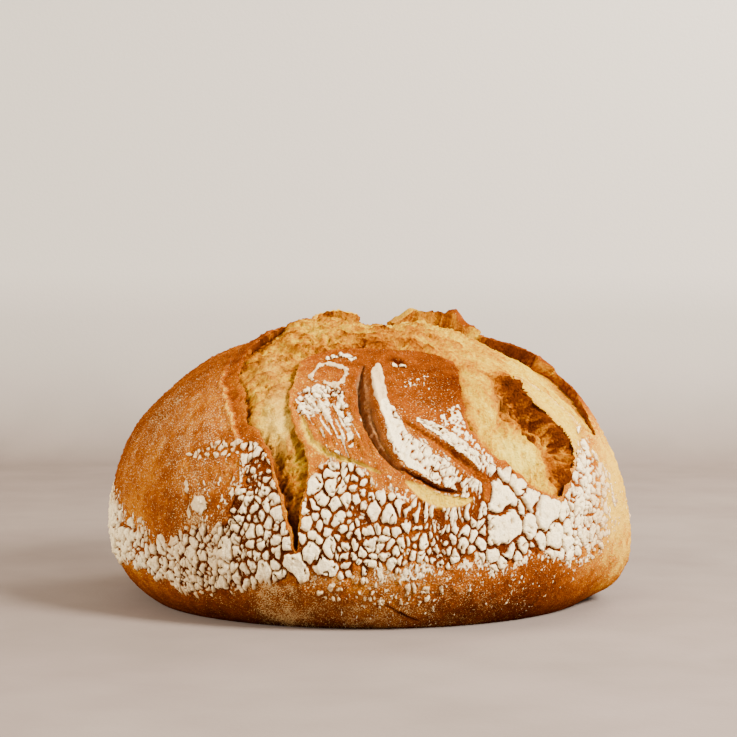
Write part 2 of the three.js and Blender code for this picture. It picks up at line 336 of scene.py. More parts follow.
TEAR, INTO_U, INTO_V = tear_depths()
ROOM = half_widths(TEAR) / MOST_ROOM
OUTSIDE = np.clip(-TEAR, 0, None)
STATION = TEAR / ROOM  # 0 at the torn edge, 1 past its tip, 2 on its wall, 4 on open crumb
EAR = bells(EARS)
HOLLOW = patches([
    (60, -62, 6, 0.9), (67, -68, 7, 1.0), (77, -74, 7, 1.0), (84, -81, 4, 0.8), (64, -76, 5, 0.7),
    (77, -85, 4, -1.0), (57, -76, 5.5, 0.9), (67, -79, 4.5, 0.7),
])

# ---------- Crumb ----------
GRAIN_TURNS = [  # u, v, reach, the strands' angle in degrees, weight
    (46, -74, 11, -62, 3.0), (66, -94, 10, -70, 2.0), (70, -32, 16, -40, 3.0),
    (-8, -28, 30, -20, 2.0), (30, -28, 24, -50, 2.0), (-37, -90, 10, -85, 1.5),
    (-38, -78, 6, 20, 2.0),
]


def crumb_grain():
    """The direction of the crumb's strands: mostly straight in from the torn edges."""
    along = (INTO_U**2 - INTO_V**2) * 0.8
    turned = 2 * INTO_U * INTO_V * 0.8
    for cu, cv, reach, angle, weight in GRAIN_TURNS:
        here = bells([(cu, cv, reach, weight)])
        along += here * math.cos(2 * math.radians(angle))
        turned += here * math.sin(2 * math.radians(angle))
    grain = 0.5 * np.arctan2(blur(turned, 3), blur(along, 3)) + 0.3 * noise(10, 5)
    return np.cos(grain), np.sin(grain)


GRAIN_U, GRAIN_V = crumb_grain()
FINE_STRANDS = streaks(GRAIN_U, GRAIN_V, 4.0, 0.9, 6)
BROAD_STRANDS = streaks(GRAIN_U, GRAIN_V, 8.0, 2.4, 7)
CALM = patches(
    [(46, -75, 12, 0.8), (74, -34, 18, 0.75), (-36, -91, 8, 0.6), (60, -20, 14, 0.5)], 0.85
)


def stamp_pits(field, pits):
    """Sinks oval pits with soft rims into a field: each is (u, v, radius, depth)."""
    for u, v, radius, depth in pits:
        at = window(u, v, 2.6 * radius, 2.6 * radius)
        gu, gv = GRAIN_U[cell_at(u, v)], GRAIN_V[cell_at(u, v)]
        along = ((U[at] - u) * gu + (V[at] - v) * gv) / (1.35 * radius)
        across = ((V[at] - v) * gu - (U[at] - u) * gv) / radius
        r = np.hypot(along, across)
        field[at] -= depth * np.clip(1 - r * r, 0, None) ** 1.5
        field[at] += 0.15 * depth * np.exp(-((r - 1.15) ** 2) / 0.05)


def stamp_strand(field, path, half, rise):
    """Raises a rounded strand along a path into a field."""
    line = smooth_line(path, False, 0.8)
    ends = np.sin(math.pi * np.linspace(0.04, 0.96, len(line)))
    for (u, v), end in zip(line[:, :2], ends):
        at = window(u, v, 2.5 * half, 2.5 * half)
        r = np.hypot(U[at] - u, V[at] - v) / half
        bump = rise * end**0.5 * np.exp(-r * r)
        field[at] = np.where(np.abs(bump) > np.abs(field[at]), bump, field[at])


# Where the crumb is young and beige rather than yellow
INNER = patches([
    (-36, -92, 6, 0.9), (-36, -82, 5, 0.9), (-42, -62, 6, 0.5), (-37, -100, 4, 0.8), (8, 2, 8, 0.5),
    (54, -74, 3, 0.6), (40, 0, 8, 0.4),
], 0.85)
BIG_PORES = [
    (-46.5, -45, 2.6, 3.5), (82, -88, 1.0, 2.0), (56, -74, 2.4, 2.5), (-18, 1, 2.0, 2.2),
    (73, -94, 0.8, 1.2), (28, 0, 2.4, 1.4), (40, -8, 2.0, 1.2), (-36, -84, 0.7, 0.8),
    (-34, -89, 0.6, 0.7), (-39, -55, 1.4, 1.4),
]
STRANDS = [  # path, half width, rise
    ([(-46, -82), (-41.5, -80.5), (-35, -81), (-29, -83)], 0.9, 1.6),
    ([(-42, -79), (-38.5, -75.5), (-32, -74.5)], 0.7, 1.2),
    ([(-52, -64), (-48, -70), (-45, -78), (-45.5, -86), (-43, -92)], 1.1, 1.3),
    ([(-50, -52), (-46, -58), (-38, -60), (-30, -57)], 0.8, 1.1),
    ([(66, -86), (68, -92), (71, -97)], 0.9, 0.8),
    ([(58, -82), (62, -89), (63, -96)], 0.9, 0.7),
    ([(45, -58), (51, -64), (54.5, -74), (54, -84), (49, -94)], 1.8, -3.2),
    ([(55, -86), (62, -88), (70, -92)], 0.9, 0.9),
]


# How many wisps are tried and pores made, in which corners of the map, and how far in a tear
WISP_TRIES, WISP_AREA, WISP_INSET = 800, ([-60, -134], [102, 124]), 2.5
PORES, PORE_AREA, PORE_INSET = 2200, ([-62, -136], [104, 126]), 2.2


def crumb_relief():
    """The fine relief of the crumb: lumps, strands, wisps and pores."""
    rng = np.random.default_rng(11)
    open_share = 1 - CALM
    relief = open_share * (0.45 * noise(5.5, 8) + 0.5 * BROAD_STRANDS)
    relief += open_share * 0.35 * (1 - np.abs(noise(2.6, 9)))
    relief += (0.3 - 0.16 * CALM) * FINE_STRANDS * (1 - 0.7 * INNER)
    relief += 0.16 * INNER * noise(1.3, 30)
    relief += HOLLOW * (4.0 + 1.3 * noise(3.5, 10) - 1.3 * np.clip(noise(1.9, 21), 0.3, 2))
    relief += bells([
        (46, -77, 6, 1.8), (63, -7, 8, -2.5), (88, -27, 6, -1.5), (2, 12, 9, -3.8),
        (5, -16, 9, -3.6), (76, -83, 3, 2.0), (70, -88, 3, 1.0),
    ])
    wisps = np.zeros(U.shape)
    for _ in range(WISP_TRIES):
        u, v = rng.uniform(*WISP_AREA)
        here = cell_at(u, v)
        if TEAR[here] < WISP_INSET or rng.random() < CALM[here]:
            continue
        du, dv = GRAIN_U[here], GRAIN_V[here]
        length = rng.uniform(2, 6)
        bend = rng.uniform(-1.2, 1.2)
        path = [
            (u - length * du, v - length * dv), (u - bend * dv, v + bend * du),
            (u + length * du, v + length * dv),
        ]
        stamp_strand(wisps, path, rng.uniform(0.35, 0.6), rng.uniform(0.4, 0.9))
    for path, half, rise in STRANDS:
        stamp_strand(wisps, path, half, rise)
    pores = []
    while len(pores) < PORES:
        u, v = rng.uniform(*PORE_AREA)
        here = cell_at(u, v)
        if TEAR[here] < PORE_INSET or rng.random() < CALM[here]:
            continue
        radius = 0.3 + 0.8 * rng.random() ** 3
        pores.append((u, v, radius, radius * rng.uniform(0.6, 1.2)))
    stamp_pits(relief, pores)
    stamp_pits(relief, BIG_PORES)
    return relief + wisps


# Where the crust's edge has two steps, the lower one torn from under the upper
STEP = patches([(-55, -60, 11, 1.2), (-49, -84, 9, 1.2)])


def tear_heights():
    """The height of every cell before the slashes, from crust to crumb."""
    crust = LIP_HEIGHT * np.exp(-OUTSIDE / LIP_REACH)
    crust += STEP * (0.4 * ridge(TEAR, -4.5, 0.8) - 1.8 * smoothstep(-4.2, -3.2, TEAR))
    uneven = 1 + 0.06 * noise(5, 4) + 0.05 * noise(1.8, 25)
    crust += EAR * np.exp(-OUTSIDE / EAR_REACH) * uneven
    climb = 1 - np.exp(-np.clip(TEAR, 0, None) / CREVICE_REACH)
    crumb = bells(LOBES) * climb - (CREVICE_DEPTH + bells(CREVICES)) * (1 - climb)
    tip = crust - 0.5 * smoothstep(0.0, 1.0, STATION)
    wall_run = 1.2 + 6.0 * HOLLOW
    under = np.minimum(crust - LIP_THICKNESS - 0.35 * EAR, crumb + 1.5)
    down = smoothstep(1.0, 1.0 + wall_run, STATION)
    height = tip + (under - tip) * down
    height += (crumb - height) * smoothstep(2.2, 4.2 + 4.0 * HOLLOW, STATION)
    return blur(height, 0.5) + crumb_relief() * smoothstep(2.2, 4.6, STATION)


def tear_shift():
    """How far the lips lean inwards over the crevices, and their undersides tuck back."""
    lean = (0.7 + 0.42 * EAR) * (1 + 0.25 * noise(9, 3)) * ROOM
    tuck = (0.5 + 0.2 * EAR + 2.8) * ROOM * (1 - 0.9 * HOLLOW)
    shift = np.interp(STATION, [-9, 0, 1.0, 2.8, 6.0], [0, 0.9, 1.0, 0, 0]) * lean
    shift -= np.interp(STATION, [1.0, 2.8, 4.4, 6.0], [0, 1.0, 0.35, 0]) * tuck
    torn = smoothstep(0.4, 1.2, STATION) * smoothstep(4.6, 3.0, STATION)
    shift += 0.3 * torn * ROOM * (noise(1.6, 26) + noise(3.5, 27))
    return blur(shift, 0.7)


height = tear_heights() + bells(BULGES)
shift = tear_shift()
shift_u = shift * INTO_U
shift_v = shift * INTO_V

# ---------- Slashes of the front plate that didn't open, and cracks ----------
GROOVE = [(-2, -72, 1.5), (-2, -80, 3.4), (-1, -90, 3.9), (1.5, -99, 3.8), (6.5, -107.5, 3.2),
          (14, -114.5, 1.2)]
GROOVE_DEPTH = 7.0
SLASH = [(15, -97.5, 0.7), (24, -101, 1.0), (33, -104, 1.7), (43, -106.8, 2.1), (53, -108.8, 1.0)]
SLASH_DEPTH = 1.9
PATH_REACH = 12.0  # paths are measured this far around them


def measure_path(path):
    """A path (u, v, half width) as a fine line, and for every cell near it the distance, the share
    of the path's length, the side, and the half width there."""
    line = smooth_line(path, False, 1.0)
    distance, share, side = measure_line(line, False, PATH_REACH)
    return line, distance, share, side, np.interp(share, np.linspace(0, 1, len(line)), line[:, 2])


def slash_frame(path):
    """The place across a slash, -1 at its left edge and 1 at its right, the openness along it,
    and the direction of its run."""
    line, distance, share, side, half = measure_path(path)
    run = np.gradient(line[:, :2], axis=0)
    run /= np.linalg.norm(run, axis=1)[:, None]
    index = np.clip((share * (len(line) - 1)).astype(int), 0, len(line) - 1)
    openness = np.sin(math.pi * np.clip(share, 0.02, 0.98)) ** 0.5
    return -distance * side / half, openness, run[index, 0], run[index, 1]


def cut_groove():
    """The deep groove: a narrow slit under its left edge, and a long wall up to its right lip. Its
    rise, its depth, how far the slit is pulled sideways, and its frame."""
    x, openness, run_u, run_v = slash_frame(GROOVE)
    x = x + 0.05 * noise(3, 40)
    within = np.abs(x) < 1
    slit = smoothstep(-1.0, -0.7, x) * (1 - smoothstep(-0.35, 0.0, x))
    wall = smoothstep(-1.0, -0.7, x) * (1 - smoothstep(-0.2, 1.0, x)) ** 0.8
    deep = np.maximum(slit, 0.55 * wall) * openness * within
    lines = streaks(run_u, run_v, 8.0, 1.1, 12)
    rise = -GROOVE_DEPTH * deep + 0.4 * lines * smoothstep(0.05, 0.4, deep)
    rise += openness * (1.3 * ridge(x, 1.3, 0.3) + 0.6 * ridge(x, -1.15, 0.25))
    for place, size in ((-1.55, 0.55), (-1.95, 0.45), (-2.4, 0.3)):
        rise += openness * size * ridge(x + 0.07 * lines, place, 0.14)
    pull = -1.3 * smoothstep(0.4, 1, slit * openness)
    return rise, deep, pull, x, openness


def cut_slash():
    """The shallow slash: a bundle of fine ridges between two low lips. Its rise and its depth."""
    x, openness, run_u, run_v = slash_frame(SLASH)
    deep = np.clip(1 - np.abs(x) ** 2.4, 0, 1) * openness
    lines = streaks(run_u, run_v, 9.0, 1.1, 13)
    rise = -SLASH_DEPTH * deep + 0.65 * lines * smoothstep(0.05, 0.4, deep)
    rise += openness * (0.9 * ridge(x, 1.3, 0.35) + 0.5 * ridge(x, -1.3, 0.3))
    return rise, deep


CRACKS = [  # path (u, v, half width), depth, lip above, crumb shown
    ([(12, -113.5, 0.7), (21, -115.5, 0.9), (31, -117, 0.9), (42, -115.5, 0.6)], 2.2, 0.9, 0.0),
    ([(-27, -92, 0.8), (-24, -101, 1.2), (-18.8, -107.2, 1.3), (-13, -110, 1.0),
      (-4.8, -112.6, 0.6), (5, -116, 0.5)], 1.3, 0.5, 1.0),
    ([(88.5, -62, 0.5), (93, -52, 0.6), (99, -40, 0.4)], 1.4, 0.3, 0.3),
    ([(8.5, -66, 1.2), (12, -66.5, 1.8), (15, -68.5, 1.0)], 1.6, 0.7, 0.0),
    ([(10, -157, 0.4), (24, -160.5, 0.6), (38, -162, 0.4)], 0.9, 0.3, 0.0),
    ([(41, -60, 0.4), (44.5, -59, 0.8), (48, -60, 0.4)], 1.0, 0.3, 0.5),
]


def cut_cracks():
    """The rise of all cracks, the painted shade of the crust in their depth, and where they show
    pale crumb.
    """
    rise = np.zeros(U.shape)
    crack_shade = np.zeros(U.shape)
    pale = np.zeros(U.shape)
    for path, depth, lip, crumb in CRACKS:
        x, openness, _, _ = slash_frame(path)
        x = x + 0.15 * noise(2, 41)
        deep = np.clip(1 - x**2, 0, 1) * openness
        rise += -depth * deep + lip * openness * ridge(x, 1.5, 0.7)
        # painted shade: the crust in a crack is darker the deeper in it lies
        crack_shade = np.maximum(crack_shade, (1 - crumb) * deep)
        pale = np.maximum(pale, crumb * smoothstep(0, 0.5, deep))
    return rise, crack_shade, pale


# The thin skin below the crescent crack, where the crust stretched to yellow
CRESCENT = [(16, -117.5, 0.6), (23, -119.5, 2.2), (31, -120.5, 2.4), (40, -118.5, 1.6),
            (46, -116, 0.5)]

groove_rise, groove, groove_pull, groove_x, groove_open = cut_groove()
slash_rise, slash = cut_slash()
crack_rise, crack_and_shade, crack_pale = cut_cracks()
crescent_x, crescent_open, _, _ = slash_frame(CRESCENT)
crescent = smoothstep(1.1, 0.6, np.abs(crescent_x)) * smoothstep(0.1, 0.4, crescent_open)
height += groove_rise + slash_rise + crack_rise - 0.8 * crescent
shift_u += groove_pull

# ---------- Skin of the crust ----------
ON_CRUST = 1 - smoothstep(-0.6, 0.4, TEAR)
# The way the skin between the tear and the groove was stretched
PULL = math.cos(math.radians(-62)), math.sin(math.radians(-62))
STRETCHED = patches([(-15, -92, 11, 1.2), (-6, -106, 8, 0.9), (-20, -84, 7, 0.6)])
STRETCHED *= 1 - smoothstep(-1.3, -0.9, groove_x) * smoothstep(0.2, 0.5, groove_open)
PULLED = streaks(*PULL, 5.0, 1.2, 14)


BLISTERS = 220


def skin_relief():
    """The fine relief of the crust: pimples, lumps, stretched skin and burst blisters."""
    rng = np.random.default_rng(17)
    relief = 0.07 * noise(1.5, 15) + 0.07 * noise(5.0, 16) + 0.4 * noise(26.0, 17)
    relief += 0.26 * np.clip(noise(1.1, 18) - 0.5, 0, 1.5)
    relief += 0.40 * PULLED * STRETCHED
    blisters = []
    while len(blisters) < BLISTERS:
        angle = rng.uniform(-math.pi, math.pi)
        out = rng.uniform(60, 160)
        u, v = out * math.cos(angle), out * math.sin(angle)
        size = 0.7 + 1.8 * rng.random() ** 2
        if TEAR[cell_at(u, v)] < -4:
            blisters.append((u, v, size, -0.2 * size))
    blisters.append((10, -118.5, 2.2, -0.9))
    stamp_pits(relief, blisters)
    return relief


height += skin_relief() * ON_CRUST * (1 - smoothstep(150, 168, RHO))
height *= 1 - smoothstep(158, 169.5, RHO)

# ---------- Flour ----------
# The band round the loaf: angle in degrees, and where it starts and ends on the map
FLOUR_BAND = [
    (-180, 131, 150), (-165, 130, 151), (-150, 134, 150), (-143, 138, 152), (-135, 139, 158),
    (-124, 135, 155), (-120, 127, 153), (-116, 113, 152), (-110, 119, 151), (-106, 122, 150),
    (-102, 116, 149), (-98, 112, 149), (-91, 116, 145), (-87, 119, 145), (-81, 122.5, 146),
    (-76, 123, 146), (-68, 119, 145), (-60, 117, 144), (-50, 117, 144), (-43, 112, 146),
    (-34, 114, 146), (-26, 122, 144), (-14, 126, 142), (5, 124, 145), (30, 119, 150),
    (60, 122, 148), (90, 126, 152), (115, 118, 149), (140, 124, 153), (160, 133, 148),
]
FLOUR_PATCHES = [  # path (u, v, half width), cover
    ([(-16.5, -64, 1.3), (-12, -62, 1.6), (-6, -65.5, 1.3)], 1.0),
    ([(-27, -91, 1.6), (-26.5, -85, 2.6), (-20.8, -84, 2.6), (-14.2, -85, 2.0)], 1.0),
    ([(-25.6, -89, 2.6), (-20.6, -91, 2.2), (-16, -89.5, 1.8)], 0.8),
    ([(-11.4, -86, 1.0), (-11.6, -91, 1.6), (-9, -95.5, 1.7), (-8.2, -99.5, 1.2)], 1.0),
    ([(-8.2, -103, 0.8), (-7, -107, 1.2)], 0.9),
    ([(-13.5, -109, 0.9), (-9, -113, 1.3)], 0.9),
    ([(6.8, -91, 2.3), (10, -98.5, 3.6), (13, -105, 4.6), (21, -109, 5.0), (31, -111.5, 4.2),
      (43, -113, 2.6)], 1.0),
    ([(20, -95.8, 1.0), (29, -98, 2.0), (40, -101.6, 2.4), (52, -104, 2.2), (60, -103.5, 1.6)],
     1.0),
    ([(88, -61, 1.5), (93, -65, 2.6), (96.5, -72, 3.2), (99, -82, 4.0), (101, -92, 4.5)], 1.0),
    ([(10.4, -69.3, 0.8), (14, -69.8, 1.1), (16, -71, 0.6)], 0.9),
    ([(-75.5, -84, 1.4), (-68.7, -88, 2.2), (-61, -91, 2.8), (-53, -95, 2.4)], 0.62),
    ([(-79.5, -92, 1.0), (-82, -97, 1.0), (-83.5, -101, 0.9)], 0.8),
    ([(-77.5, -101, 2.6), (-75.5, -102.5, 2.6)], 1.0),
    ([(-26, -150, 2.5), (-10, -152.5, 4.0), (8, -153, 4.5), (26, -151, 4.0), (40, -148, 2.5)],
     0.48),
    ([(-50, -97, 2.2), (-48, -103, 4.5), (-46, -112, 6.0), (-44, -124, 7.0)], 0.9),
    ([(40, 92, 4.0), (48, 104, 6.0), (46, 118, 5.0)], 0.9),
    ([(-60, 78, 3.0), (-70, 92, 5.0), (-66, 108, 5.0)], 0.8),
    ([(104, 28, 3.0), (112, 36, 4.0)], 0.8),
    ([(-104, 46, 2.5), (-110, 34, 3.0)], 0.7),
    ([(-30, 40, 2.0), (-36, 52, 4.0), (-34, 66, 3.0)], 0.8),
    ([(34, 44, 2.0), (40, 58, 4.0), (46, 68, 3.0)], 0.8),
]
# Flour in unbroken rolls, on the groove's lip and in a ring: path (u, v, half width), how ragged
FLOUR_ROLLS = [
    ([(4.0, -70, 1.8), (3.6, -75, 2.6), (4.4, -83, 2.7), (6.0, -91, 2.3), (8.6, -98, 2.0),
      (11.8, -105, 1.8), (16, -110.5, 1.6), (24, -113.6, 1.2)], 0.12),
    ([(-21.5, -78, 1.0), (-23.5, -75.5, 1.1), (-21.5, -71, 0.9), (-18.5, -67.5, 1.2),
      (-13.5, -70, 0.9), (-9, -73.5, 1.2), (-10.5, -78, 1.0), (-12.8, -81, 1.3),
      (-18, -79.5, 0.9)], 0.5),
]
PLATE_SIZE = 3.8
PLATE_SIZES = [  # u, v, reach, change of the plates' size
    (62, -113, 9, 2.8), (82, -102, 7, 3.4), (-81, -121, 4, 4.6), (-36, -140, 4, 4.0),
    (-22, -142, 4, 3.0), (-76, -102, 3, 3.0), (14, -102, 6, -0.6), (30, -109, 9, -1.0),
    (42, -102, 8, -2.2), (-14, -82, 12, -2.0), (-66, -88, 7, -1.0), (-100, -104, 26, -0.6),
    (60, 130, 14, 2.4), (-90, 90, 14, 2.0), (-46, -112, 8, -0.9), (36, -132, 12, -1.0),
    (120, -70, 14, -0.6), (97, -74, 7, 0.6), (4, -72, 10, -1.2), (-10, -122, 8, -0.8),
    (-6, -153, 10, -1.6), (22, -153, 12, -1.6),
]
PLATE_GAP = 0.42
PLATE_GAPS = [  # u, v, reach, change of half the cracks' width
    (14, -102, 9, -0.22), (30, -109, 10, -0.22), (4, -78, 10, -0.24), (-16, -78, 12, -0.22),
    (42, -102, 8, -0.26), (-66, -88, 8, -0.10), (-70, -118, 12, -0.10), (-104, -108, 22, -0.12),
    (-20, -128, 14, 0.06), (10, -128, 14, 0.02), (64, -112, 12, 0.30), (104, -84, 14, -0.12),
]
# The largest plates of the front: u, v
BIG_PLATES = [
    (-76, -102), (-81, -121), (-36, -140), (-22, -142), (59, -110.5), (82, -100), (64.5, -118),
    (70, -107), (-24, -87), (-17, -86.5),
]
PLATE_THICKNESS = 0.65
CRACK_DEPTH = 0.55  # how far the cracks between plates go into the crust
UPRIGHT = 1.22  # how much taller than wide the plates are
BARE = 0.25  # no plate grows where the cover is less
SEED_TRIES = 120000
SPLIT_SHARE = 0.22  # of the borders inside a plate, how many are open as fine cracks
SPLIT_HALF = 0.14  # half the width of those
SUNK = -0.22  # the flour's meshes reach this far below the crust
DRAWN_OUT = [  # where plates are longer one way: u, v, reach, angle in degrees, how much longer
    (28, -108, 10, 65, 1.8), (40, -102, 7, 60, 1.4),
]
SIFTED = [  # u, v, reach, how much flour lies in loose grains
    (44, -98, 6, 0.75), (33, -94, 5, 0.6), (38, -89, 5, 0.5), (16, -80, 4, 0.5),
    (22, -76, 4, 0.3), (-16, -88, 5, 0.4), (-62, -108, 10, 0.2),
    (100, -90, 12, 0.4), (108, -76, 9, 0.3), (60, -134, 12, 0.35), (88, -122, 12, 0.35),
    (0, -156, 12, 0.45), (30, -153, 12, 0.4), (20, -100, 6, 0.3),
]
PULLED_FLOUR = [(-17, -94, 5, 1.0), (-12, -103, 4.5, 0.9), (-20, -88, 5, 0.7), (-9, -98, 3, 0.6)]


def flour_cover():
    """How thickly flour lies on each cell, from 0 to 1."""
    table = np.array(FLOUR_BAND, float)
    angle = np.degrees(THETA)
    inner = np.interp(angle, table[:, 0], table[:, 1], period=360)
    outer = np.interp(angle, table[:, 0], table[:, 2], period=360)
    margin = np.minimum(RHO - inner, outer - RHO) + 1.6 * noise(9, 30) + 0.8 * noise(3, 31)
    cover = smoothstep(-2.0, 2.5, margin)
    cover *= 1 - patches([(126, -40, 24, 0.8), (134, 20, 30, 0.4), (0, 134, 30, 0.3)], 0.75)
    ragged = 0.35 * noise(2.5, 32)
    for path, amount in FLOUR_PATCHES:
        _, distance, _, _, half = measure_path(path)
        edge = half - distance + ragged
        cover = np.maximum(cover, amount * smoothstep(-0.5, 0.5, edge))
    clear = np.clip(1.6 * groove + 2 * slash + 2 * crack_and_shade + 1.5 * crack_pale + crescent, 0, 1)
    return cover * smoothstep(-0.2, -0.9, TEAR) * (1 - clear)


def plate_ground(seed):
    """Where each cell lies on the loaf, in mm, bent a little so that the cracks wander. It is
    squeezed where the plates are longer one way."""
    u = U + 0.22 * noise(1.8, seed + 1) + 0.7 * noise(5, seed + 2)
    v = V + 0.16 * noise(1.8, seed + 3) + 0.5 * noise(5, seed + 4)
    ground = on_loaf(u, v, 0)
    ground[..., 2] /= UPRIGHT
    for cu, cv, reach, angle, squeeze in DRAWN_OUT:
        share = bells([(cu, cv, reach, 1 - 1 / squeeze)])
        along = math.cos(math.radians(angle)), 0.0, math.sin(math.radians(angle))
        ground -= (share * (ground @ along))[..., None] * along
    return ground


def scatter(ground, size, cover, seed):
    """Seeds of plates, about size apart, where the cover isn't bare."""
    rng = np.random.default_rng(seed)
    taken = cover < BARE
    seeds = []
    for u, v in [*BIG_PLATES, *rng.uniform(-REACH, REACH, (SEED_TRIES, 2))]:
        here = cell_at(u, v)
        if taken[here]:
            continue
        seeds.append((u, v))
        reach = 0.8 * size[here]
        at = window(u, v, 1.5 * reach, 1.5 * reach)
        taken[at] |= np.linalg.norm(ground[at] - ground[here], axis=-1) < reach
    return np.array(seeds)


def cells(size, cover, seed):
    """The cells around scattered seeds: for each raster cell its seed, how many mm it lies inside
    the seed's cell, and a random number that its nearest border has to itself."""
    ground = plate_ground(seed)
    seeds = scatter(ground, size, cover, seed)
    first = np.full(U.shape, 9.0)
    second = np.full(U.shape, 9.0)
    owner = np.zeros(U.shape, int)
    other = np.zeros(U.shape, int)
    scale = size[cell_at(*seeds.T)]
    for i, ((u, v), s) in enumerate(zip(seeds, scale)):
        at = window(u, v, 2.4 * s, 2.4 * s)
        d = np.linalg.norm(ground[at] - ground[cell_at(u, v)], axis=-1) / s
        nearest = d < first[at]
        next_one = ~nearest & (d < second[at])
        second[at] = np.where(nearest, first[at], np.where(next_one, d, second[at]))
        other[at] = np.where(nearest, owner[at], np.where(next_one, i, other[at]))
        first[at] = np.where(nearest, d, first[at])
        owner[at] = np.where(nearest, i, owner[at])
    spots = ground[cell_at(*seeds.T)]
    apart = np.linalg.norm(spots[owner] - spots[other], axis=-1) + 1e-6
    margin = (second**2 - first**2) * scale[owner] * scale[other] / (2 * apart)
    low, high = np.minimum(owner, other), np.maximum(owner, other)
    border = ((low * 7919 + high * 104729) % 1009) / 1009
    return seeds, owner, np.where(second > 8, 9.0, margin), border


def flour_plates():
    """The plates: their height above the crust, how far each cell lies inside its plate, each
    plate's own random number, and where the cracks between them are."""
    rng = np.random.default_rng(33)
    size = np.clip(PLATE_SIZE + bells(PLATE_SIZES), 1.3, 11) * (1 + 0.22 * noise(8, 34))
    gap = np.clip(PLATE_GAP + bells(PLATE_GAPS), 0.06, 1.0)
    seeds, owner, margin, _ = cells(size, cover, 50)
    _, _, fine_margin, border = cells(0.5 * size, cover, 60)
    luck = rng.random(len(seeds))
    shown = (cover[cell_at(*seeds.T)] > BARE + 0.35 * luck)[owner]
    crack_half = gap * (0.5 + 1.0 * rng.random(len(seeds)))[owner] * (1.5 - 0.5 * cover)
    edge = blur(margin, 0.8) - crack_half
    edge = np.minimum(edge, np.where(border < SPLIT_SHARE, fine_margin - SPLIT_HALF, 9.0))
    edge += 0.07 * noise(1.0, 39)
    edge = np.minimum(edge, 3.0 * (cover * (1 + 0.18 * noise(2.2, 38)) - BARE))
    edge = np.where(shown, edge, -1.0)
    for path, ragged in FLOUR_ROLLS:
        x, openness, _, _ = slash_frame(path)
        roll = 1.6 * (1 - np.abs(x)) + ragged * noise(1.6, 37) + 3 * np.minimum(openness - 0.4, 0)
        edge = np.maximum(edge, np.where(groove > 0.12, -1.0, roll))
    thick = PLATE_THICKNESS * (0.6 + 0.8 * rng.random(len(seeds)))[owner]
    thick *= np.clip(0.5 + 0.12 * size, 0.5, 1.3) - bells([(-92, -112, 22, 0.35)])
    lumps = 0.05 * noise(1.0, 36) + 0.05 * noise(2.8, 35)
    cracked = shown * smoothstep(0.45, 0.9, cover) * smoothstep(0.3, -0.05, edge)
    return flour_height(edge, thick, lumps), edge, luck[owner], cracked


def flour_height(edge, thick, lumps):
    """Flour that rounds up from its edge to its thickness, and dips under the crust outside it."""
    rise = thick * (1 - np.exp(-np.clip(edge, 0, None) / 0.22))
    return rise + lumps * smoothstep(0, 0.4, edge) - 0.3 * smoothstep(0.0, -0.3, edge)


def flour_grains():
    """Fine grains of flour that aren't baked into plates, and the flour pulled into streaks: their
    height above the crust, and how far each cell lies inside a grain."""
    near = smoothstep(0.02, 0.5, blur(cover, 13.0)) * smoothstep(98, 112, RHO)
    near *= 1 - patches([(-88, -100, 12, 0.9)])
    near *= smoothstep(154, 146, RHO)
    sift = np.clip(bells(SIFTED) + 0.75 * near, 0, 1) * (1 - smoothstep(0.3, 0.7, cover))
    sift *= smoothstep(-0.2, -1.2, TEAR)
    sift *= 1 - np.clip(3 * groove + 3 * slash + 3 * crack_and_shade + 3 * crack_pale + 3 * crescent, 0, 1)
    speckle = noise(0.85, 70) + 0.5 * noise(4, 71)
    edge = 0.3 * (speckle - np.interp(sift, [0, 0.1, 1], [6, 2.2, -0.2]))
    pulled = patches(PULLED_FLOUR)
    threads = streaks(*PULL, 3.5, 0.8, 74)
    edge = np.maximum(edge, 0.4 * (threads - np.interp(pulled, [0, 0.15, 1], [6, 1.6, 0.25])))
    return flour_height(edge, 0.3, 0.05 * noise(0.9, 72)), edge


cover = flour_cover()
plate, plate_edge, plate_luck, cracked = flour_plates()
height -= CRACK_DEPTH * cracked
grain, grain_edge = flour_grains()

# ---------- Meshes ----------
LOAF_TRIANGLES = 262000
FLOUR_TRIANGLES = 190000
BASE_MAP_REACH = 173.5  # the raster is used this far out, past the edge of the base
CRUMB_FROM = 0.7  # the station at which the crust ends and the crumb starts
BASE_ISLAND = 0.08, 0.8  # where the flat base lies in the UV map, and its scale

place_u = U + shift_u
place_v = V + shift_v
LOAF_SURFACE = on_loaf(place_u, place_v, height)


def new_object(name, vertices, faces):
    """A mesh object in the scene."""
    mesh = bpy.data.meshes.new(name)
    mesh.from_pydata(vertices, [], faces)
    obj = bpy.data.objects.new(name, mesh)
    bpy.context.scene.collection.objects.link(obj)
    return obj


def add_fields(obj, fields):
    """Gives each vertex its values, as named attributes."""
    for name, values in fields.items():
        attribute = obj.data.attributes.new(name, "FLOAT", "POINT")
        attribute.data.foreach_set("value", values)


